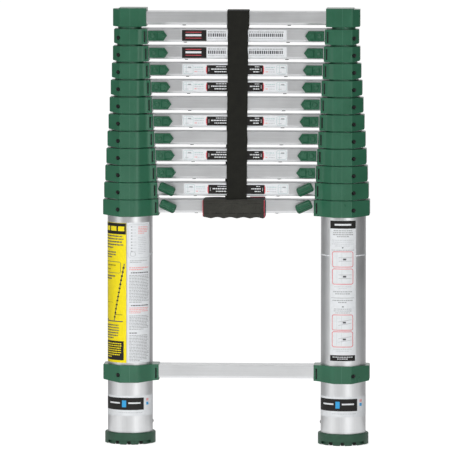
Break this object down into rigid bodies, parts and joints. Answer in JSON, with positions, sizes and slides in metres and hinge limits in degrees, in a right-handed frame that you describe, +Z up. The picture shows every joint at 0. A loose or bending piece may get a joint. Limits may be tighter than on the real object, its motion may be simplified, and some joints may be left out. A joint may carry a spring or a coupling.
{
  "type": "telescoping ladder",
  "caption": "Closed telescoping ladder with nested round stiles, collared rungs, spring thumb releases, lugged feet, a carrying grip and a webbing strap.",
  "frame": {"origin": "on the floor, midway between the two stiles", "axes": "+Z up along the stiles, +X along the rungs to the right seen from the front, -Y towards the front"},
  "size_m": [0.489, 0.0932, 0.8019],
  "materials": {
    "aluminium": "satin extruded aluminium",
    "green_plastic": "smooth moulded plastic",
    "green_rubber": "moulded rubber",
    "grip_rubber": "soft textured rubber",
    "webbing": "woven nylon webbing"
  },
  "bodies": {
    "section_01": {"stiles_01": "aluminium", "collar_fittings_01": "green_plastic", "base_rungs": "aluminium", "feet": "green_rubber", "grip": "grip_rubber"},
    "section_02": {"stiles_02": "aluminium", "collar_fittings_02": "green_plastic", "rung_02": "aluminium"},
    "section_03": {"stiles_03": "aluminium", "collar_fittings_03": "green_plastic", "rung_03": "aluminium"},
    "section_04": {"stiles_04": "aluminium", "collar_fittings_04": "green_plastic", "rung_04": "aluminium"},
    "section_05": {"stiles_05": "aluminium", "collar_fittings_05": "green_plastic", "rung_05": "aluminium"},
    "section_06": {"stiles_06": "aluminium", "collar_fittings_06": "green_plastic", "rung_06": "aluminium"},
    "section_07": {"stiles_07": "aluminium", "collar_fittings_07": "green_plastic", "rung_07": "aluminium"},
    "section_08": {"stiles_08": "aluminium", "collar_fittings_08": "green_plastic", "rung_08": "aluminium"},
    "section_09": {"stiles_09": "aluminium", "collar_fittings_09": "green_plastic", "rung_09": "aluminium"},
    "section_10": {"stiles_10": "aluminium", "collar_fittings_10": "green_plastic", "rung_10": "aluminium"},
    "section_11": {"stiles_11": "aluminium", "collar_fittings_11": "green_plastic", "rung_11": "aluminium"},
    "section_12": {"top_frame": "aluminium", "top_caps": "green_plastic", "strap": "webbing"},
    "release_left_01": {"release_left_01": "green_plastic"},
    "release_right_01": {"release_right_01": "green_plastic"},
    "release_left_02": {"release_left_02": "green_plastic"},
    "release_right_02": {"release_right_02": "green_plastic"},
    "release_left_03": {"release_left_03": "green_plastic"},
    "release_right_03": {"release_right_03": "green_plastic"},
    "release_left_04": {"release_left_04": "green_plastic"},
    "release_right_04": {"release_right_04": "green_plastic"},
    "release_left_05": {"release_left_05": "green_plastic"},
    "release_right_05": {"release_right_05": "green_plastic"},
    "release_left_06": {"release_left_06": "green_plastic"},
    "release_right_06": {"release_right_06": "green_plastic"},
    "release_left_07": {"release_left_07": "green_plastic"},
    "release_right_07": {"release_right_07": "green_plastic"},
    "release_left_08": {"release_left_08": "green_plastic"},
    "release_right_08": {"release_right_08": "green_plastic"},
    "release_left_09": {"release_left_09": "green_plastic"},
    "release_right_09": {"release_right_09": "green_plastic"},
    "release_left_10": {"release_left_10": "green_plastic"},
    "release_right_10": {"release_right_10": "green_plastic"},
    "release_left_11": {"release_left_11": "green_plastic"},
    "release_right_11": {"release_right_11": "green_plastic"}
  },
  "joints": [
    {"name": "section_02_slide", "type": "slide", "parent": "section_01", "child": "section_02", "axis": [0, 0, 1], "range_m": [0, 0.27345]},
    {"name": "section_03_slide", "type": "slide", "parent": "section_02", "child": "section_03", "axis": [0, 0, 1], "range_m": [0, 0.27345]},
    {"name": "section_04_slide", "type": "slide", "parent": "section_03", "child": "section_04", "axis": [0, 0, 1], "range_m": [0, 0.27345]},
    {"name": "section_05_slide", "type": "slide", "parent": "section_04", "child": "section_05", "axis": [0, 0, 1], "range_m": [0, 0.27345]},
    {"name": "section_06_slide", "type": "slide", "parent": "section_05", "child": "section_06", "axis": [0, 0, 1], "range_m": [0, 0.27345]},
    {"name": "section_07_slide", "type": "slide", "parent": "section_06", "child": "section_07", "axis": [0, 0, 1], "range_m": [0, 0.27345]},
    {"name": "section_08_slide", "type": "slide", "parent": "section_07", "child": "section_08", "axis": [0, 0, 1], "range_m": [0, 0.27345]},
    {"name": "section_09_slide", "type": "slide", "parent": "section_08", "child": "section_09", "axis": [0, 0, 1], "range_m": [0, 0.27345]},
    {"name": "section_10_slide", "type": "slide", "parent": "section_09", "child": "section_10", "axis": [0, 0, 1], "range_m": [0, 0.27345]},
    {"name": "section_11_slide", "type": "slide", "parent": "section_10", "child": "section_11", "axis": [0, 0, 1], "range_m": [0, 0.27345]},
    {"name": "section_12_slide", "type": "slide", "parent": "section_11", "child": "section_12", "axis": [0, 0, 1], "range_m": [0, 0.27345]},
    {"name": "release_left_01_slide", "type": "slide", "parent": "section_01", "child": "release_left_01", "axis": [1, 0, 0], "range_m": [0, 0.008], "stiffness_N_per_m": 300, "springref_m": -0.01},
    {"name": "release_right_01_slide", "type": "slide", "parent": "section_01", "child": "release_right_01", "axis": [-1, 0, 0], "range_m": [0, 0.008], "stiffness_N_per_m": 300, "springref_m": -0.01},
    {"name": "release_left_02_slide", "type": "slide", "parent": "section_02", "child": "release_left_02", "axis": [1, 0, 0], "range_m": [0, 0.008], "stiffness_N_per_m": 300, "springref_m": -0.01},
    {"name": "release_right_02_slide", "type": "slide", "parent": "section_02", "child": "release_right_02", "axis": [-1, 0, 0], "range_m": [0, 0.008], "stiffness_N_per_m": 300, "springref_m": -0.01},
    {"name": "release_left_03_slide", "type": "slide", "parent": "section_03", "child": "release_left_03", "axis": [1, 0, 0], "range_m": [0, 0.008], "stiffness_N_per_m": 300, "springref_m": -0.01},
    {"name": "release_right_03_slide", "type": "slide", "parent": "section_03", "child": "release_right_03", "axis": [-1, 0, 0], "range_m": [0, 0.008], "stiffness_N_per_m": 300, "springref_m": -0.01},
    {"name": "release_left_04_slide", "type": "slide", "parent": "section_04", "child": "release_left_04", "axis": [1, 0, 0], "range_m": [0, 0.008], "stiffness_N_per_m": 300, "springref_m": -0.01},
    {"name": "release_right_04_slide", "type": "slide", "parent": "section_04", "child": "release_right_04", "axis": [-1, 0, 0], "range_m": [0, 0.008], "stiffness_N_per_m": 300, "springref_m": -0.01},
    {"name": "release_left_05_slide", "type": "slide", "parent": "section_05", "child": "release_left_05", "axis": [1, 0, 0], "range_m": [0, 0.008], "stiffness_N_per_m": 300, "springref_m": -0.01},
    {"name": "release_right_05_slide", "type": "slide", "parent": "section_05", "child": "release_right_05", "axis": [-1, 0, 0], "range_m": [0, 0.008], "stiffness_N_per_m": 300, "springref_m": -0.01},
    {"name": "release_left_06_slide", "type": "slide", "parent": "section_06", "child": "release_left_06", "axis": [1, 0, 0], "range_m": [0, 0.008], "stiffness_N_per_m": 300, "springref_m": -0.01},
    {"name": "release_right_06_slide", "type": "slide", "parent": "section_06", "child": "release_right_06", "axis": [-1, 0, 0], "range_m": [0, 0.008], "stiffness_N_per_m": 300, "springref_m": -0.01},
    {"name": "release_left_07_slide", "type": "slide", "parent": "section_07", "child": "release_left_07", "axis": [1, 0, 0], "range_m": [0, 0.008], "stiffness_N_per_m": 300, "springref_m": -0.01},
    {"name": "release_right_07_slide", "type": "slide", "parent": "section_07", "child": "release_right_07", "axis": [-1, 0, 0], "range_m": [0, 0.008], "stiffness_N_per_m": 300, "springref_m": -0.01},
    {"name": "release_left_08_slide", "type": "slide", "parent": "section_08", "child": "release_left_08", "axis": [1, 0, 0], "range_m": [0, 0.008], "stiffness_N_per_m": 300, "springref_m": -0.01},
    {"name": "release_right_08_slide", "type": "slide", "parent": "section_08", "child": "release_right_08", "axis": [-1, 0, 0], "range_m": [0, 0.008], "stiffness_N_per_m": 300, "springref_m": -0.01},
    {"name": "release_left_09_slide", "type": "slide", "parent": "section_09", "child": "release_left_09", "axis": [1, 0, 0], "range_m": [0, 0.008], "stiffness_N_per_m": 300, "springref_m": -0.01},
    {"name": "release_right_09_slide", "type": "slide", "parent": "section_09", "child": "release_right_09", "axis": [-1, 0, 0], "range_m": [0, 0.008], "stiffness_N_per_m": 300, "springref_m": -0.01},
    {"name": "release_left_10_slide", "type": "slide", "parent": "section_10", "child": "release_left_10", "axis": [1, 0, 0], "range_m": [0, 0.008], "stiffness_N_per_m": 300, "springref_m": -0.01},
    {"name": "release_right_10_slide", "type": "slide", "parent": "section_10", "child": "release_right_10", "axis": [-1, 0, 0], "range_m": [0, 0.008], "stiffness_N_per_m": 300, "springref_m": -0.01},
    {"name": "release_left_11_slide", "type": "slide", "parent": "section_11", "child": "release_left_11", "axis": [1, 0, 0], "range_m": [0, 0.008], "stiffness_N_per_m": 300, "springref_m": -0.01},
    {"name": "release_right_11_slide", "type": "slide", "parent": "section_11", "child": "release_right_11", "axis": [-1, 0, 0], "range_m": [0, 0.008], "stiffness_N_per_m": 300, "springref_m": -0.01}
  ]
}
